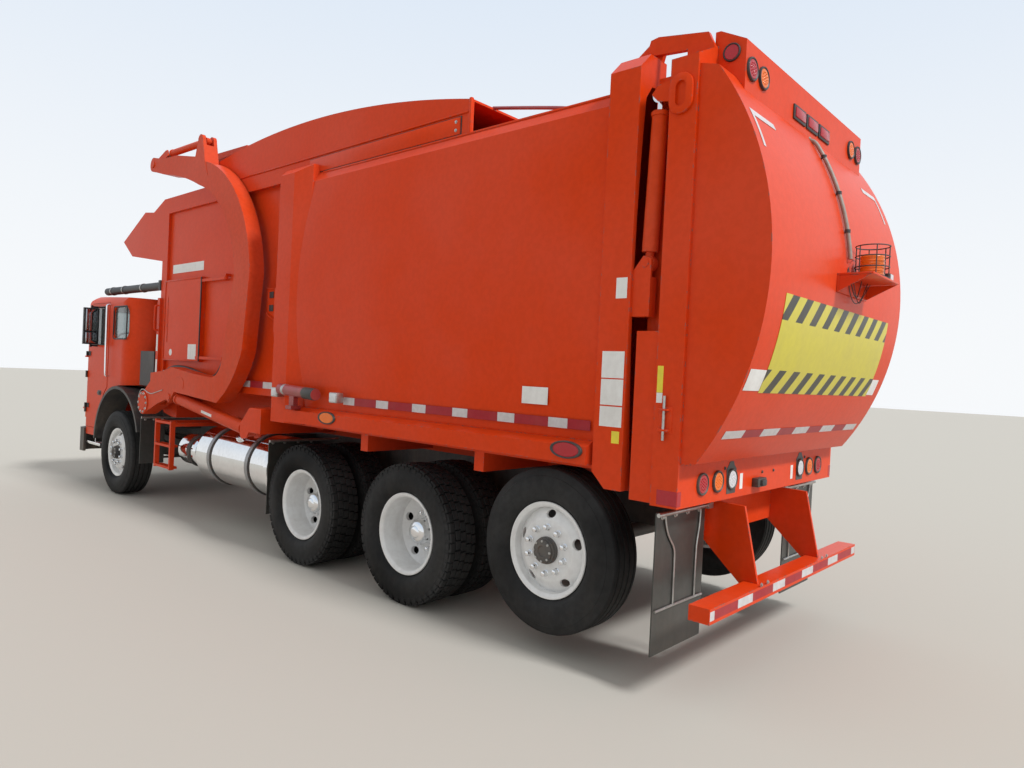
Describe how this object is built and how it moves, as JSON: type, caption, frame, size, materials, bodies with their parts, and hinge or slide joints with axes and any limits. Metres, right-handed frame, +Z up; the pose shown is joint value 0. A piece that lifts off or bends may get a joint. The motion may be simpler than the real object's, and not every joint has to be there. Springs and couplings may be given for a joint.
{
  "type": "garbage truck",
  "caption": "Front-loading garbage truck with a low cab, lifting arms and forks, an open hopper, a load body and a lifting rear door.",
  "frame": {"origin": "on the ground under the middle of the overall length", "axes": "+Z up, -Y towards the front of the truck, +X towards its left side"},
  "size_m": [2.68, 9.9, 4.1],
  "materials": {
    "orange_paint": "worn gloss",
    "black_paint": "dusty satin",
    "chrome": "polished",
    "tank_aluminium": "polished",
    "engine_iron": "oily",
    "red_paint": "worn gloss",
    "black_plastic": "matte",
    "cab_trim": "matte",
    "flap_rubber": "dusty",
    "lamp_plastic": "clear gloss",
    "glass": "clear",
    "tyre": "dusty",
    "white_paint": "worn gloss"
  },
  "bodies": {
    "truck": {"chassis_frame": "black_paint", "front_axle": "black_paint", "drive_axles": "black_paint", "tag_axle": "black_paint", "body_frame": "orange_paint", "load_body": "orange_paint", "hopper": "orange_paint", "hood": "orange_paint", "tanks": "tank_aluminium", "tank_brackets": "black_paint", "step_ladder": "red_paint", "front_bumper": "black_paint", "engine": "engine_iron", "cab_shell": "orange_paint", "cab_glass": "glass", "cab_interior": "cab_trim", "front_fenders": "black_plastic", "air_intake": "black_plastic", "rail_canister": "red_paint", "underride_bumper": "orange_paint", "mud_flaps": "flap_rubber", "flap_rods": "chrome"},
    "lift_arms": {"lift_arms": "orange_paint"},
    "forks": {"forks": "orange_paint"},
    "lift_barrels": {"lift_barrels": "orange_paint"},
    "lift_rods": {"lift_rods": "chrome"},
    "fork_barrels": {"fork_barrels": "orange_paint"},
    "fork_rods": {"fork_rods": "chrome"},
    "tail_barrels": {"tail_barrels": "orange_paint"},
    "tail_rods": {"tail_rods": "chrome"},
    "rear_door": {"rear_door": "orange_paint", "rear_lamps": "lamp_plastic", "warning_lamp": "orange_paint"},
    "hopper_hatch": {"hopper_hatch": "orange_paint"},
    "hopper_cover": {"hopper_cover": "orange_paint"},
    "tie_rod": {"tie_rod": "black_paint"},
    "knuckle_left": {"knuckle_left": "black_paint"},
    "knuckle_right": {"knuckle_right": "black_paint"},
    "front_wheel_left": {"front_tyre_left": "tyre", "front_wheel_left": "white_paint"},
    "front_wheel_right": {"front_tyre_right": "tyre", "front_wheel_right": "white_paint"},
    "drive_1_wheel_left": {"drive_1_tyre_left": "tyre", "drive_1_wheel_left": "white_paint"},
    "drive_1_wheel_right": {"drive_1_tyre_right": "tyre", "drive_1_wheel_right": "white_paint"},
    "drive_2_wheel_left": {"drive_2_tyre_left": "tyre", "drive_2_wheel_left": "white_paint"},
    "drive_2_wheel_right": {"drive_2_tyre_right": "tyre", "drive_2_wheel_right": "white_paint"},
    "tag_wheel_left": {"tag_tyre_left": "tyre", "tag_wheel_left": "white_paint"},
    "tag_wheel_right": {"tag_tyre_right": "tyre", "tag_wheel_right": "white_paint"},
    "cab_door_left": {"cab_door_left": "orange_paint", "door_glass_left": "glass"},
    "cab_door_right": {"cab_door_right": "orange_paint", "door_glass_right": "glass"}
  },
  "joints": [
    {"name": "steer_left", "type": "hinge", "parent": "truck", "child": "knuckle_left", "pos_m": [0.8, -3.467, 0.515], "axis": [0, 0, 1], "range_deg": [-35, 35]},
    {"name": "steer_right", "type": "hinge", "parent": "truck", "child": "knuckle_right", "pos_m": [-0.8, -3.467, 0.515], "axis": [0, 0, 1], "range_deg": [-35, 35]},
    {"name": "tie_rod_turn", "type": "hinge", "parent": "knuckle_left", "child": "tie_rod", "pos_m": [0.8, -3.277, 0.45], "axis": [0, 0, 1], "range_deg": [-36, 36]},
    {"name": "front_spin_left", "type": "hinge", "parent": "knuckle_left", "child": "front_wheel_left", "pos_m": [1.066, -3.467, 0.515], "axis": [1, 0, 0], "continuous": true},
    {"name": "front_spin_right", "type": "hinge", "parent": "knuckle_right", "child": "front_wheel_right", "pos_m": [-1.066, -3.467, 0.515], "axis": [1, 0, 0], "continuous": true},
    {"name": "drive_1_spin_left", "type": "hinge", "parent": "truck", "child": "drive_1_wheel_left", "pos_m": [0.925, 0.75, 0.515], "axis": [1, 0, 0], "continuous": true},
    {"name": "drive_1_spin_right", "type": "hinge", "parent": "truck", "child": "drive_1_wheel_right", "pos_m": [-0.925, 0.75, 0.515], "axis": [1, 0, 0], "continuous": true},
    {"name": "drive_2_spin_left", "type": "hinge", "parent": "truck", "child": "drive_2_wheel_left", "pos_m": [0.925, 2.13, 0.515], "axis": [1, 0, 0], "continuous": true},
    {"name": "drive_2_spin_right", "type": "hinge", "parent": "truck", "child": "drive_2_wheel_right", "pos_m": [-0.925, 2.13, 0.515], "axis": [1, 0, 0], "continuous": true},
    {"name": "tag_spin_left", "type": "hinge", "parent": "truck", "child": "tag_wheel_left", "pos_m": [1.04, 3.419, 0.643], "axis": [1, 0, 0], "continuous": true},
    {"name": "tag_spin_right", "type": "hinge", "parent": "truck", "child": "tag_wheel_right", "pos_m": [-1.04, 3.419, 0.643], "axis": [1, 0, 0], "continuous": true},
    {"name": "arms_turn", "type": "hinge", "parent": "truck", "child": "lift_arms", "pos_m": [0, -2.57, 1.19], "axis": [1, 0, 0], "range_deg": [0, 98]},
    {"name": "forks_turn", "type": "hinge", "parent": "lift_arms", "child": "forks", "pos_m": [0, -2.56, 3.935], "axis": [1, 0, 0], "range_deg": [0, 100]},
    {"name": "rear_door_turn", "type": "hinge", "parent": "truck", "child": "rear_door", "pos_m": [0, 3.94, 3.64], "axis": [1, 0, 0], "range_deg": [0, 80]},
    {"name": "lift_barrels_turn", "type": "hinge", "parent": "truck", "child": "lift_barrels", "pos_m": [0, -0.224, 1.062], "axis": [1, 0, 0], "range_deg": [-9.93, 0]},
    {"name": "lift_rods_slide", "type": "slide", "parent": "lift_barrels", "child": "lift_rods", "axis": [0, -0.9908, 0.1356], "range_m": [0, 0.9814]},
    {"name": "fork_barrels_turn", "type": "hinge", "parent": "lift_arms", "child": "fork_barrels", "pos_m": [0, -1.372, 4.01], "axis": [1, 0, 0], "range_deg": [-5.94, 0]},
    {"name": "fork_rods_slide", "type": "slide", "parent": "fork_barrels", "child": "fork_rods", "axis": [0, -0.9998, 0.0213], "range_m": [0, 0.3998]},
    {"name": "tail_barrels_turn", "type": "hinge", "parent": "truck", "child": "tail_barrels", "pos_m": [0, 4.039, 2.368], "axis": [1, 0, 0], "range_deg": [-9.83, 0]},
    {"name": "tail_rods_slide", "type": "slide", "parent": "tail_barrels", "child": "tail_rods", "axis": [0, 0.0313, 0.9995], "range_m": [0, 0.4403]},
    {"name": "hopper_hatch_turn", "type": "hinge", "parent": "truck", "child": "hopper_hatch", "pos_m": [1.059, -1.05, 2.155], "axis": [0, 0, 1], "range_deg": [0, 100]},
    {"name": "hopper_cover_slide", "type": "slide", "parent": "truck", "child": "hopper_cover", "axis": [0, -1, 0], "range_m": [0, 1.36]},
    {"name": "cab_door_left_turn", "type": "hinge", "parent": "truck", "child": "cab_door_left", "pos_m": [1.166, -4.7, 1.55], "axis": [0, 0, -1], "range_deg": [0, 70]},
    {"name": "cab_door_right_turn", "type": "hinge", "parent": "truck", "child": "cab_door_right", "pos_m": [-1.166, -4.7, 1.55], "axis": [0, 0, 1], "range_deg": [0, 70]}
  ],
  "couplings": [
    {"joint": "steer_right", "follows": "steer_left", "ratio": 1},
    {"joint": "tie_rod_turn", "follows": "steer_left", "ratio": -1},
    {"joint": "lift_barrels_turn", "follows": "arms_turn", "ratio": -0.096267},
    {"joint": "lift_rods_slide", "follows": "arms_turn", "m_per_rad": 0.57145},
    {"joint": "fork_barrels_turn", "follows": "forks_turn", "ratio": -0.054383},
    {"joint": "fork_rods_slide", "follows": "forks_turn", "m_per_rad": 0.22675},
    {"joint": "tail_barrels_turn", "follows": "rear_door_turn", "ratio": -0.11658},
    {"joint": "tail_rods_slide", "follows": "rear_door_turn", "m_per_rad": 0.31247}
  ]
}
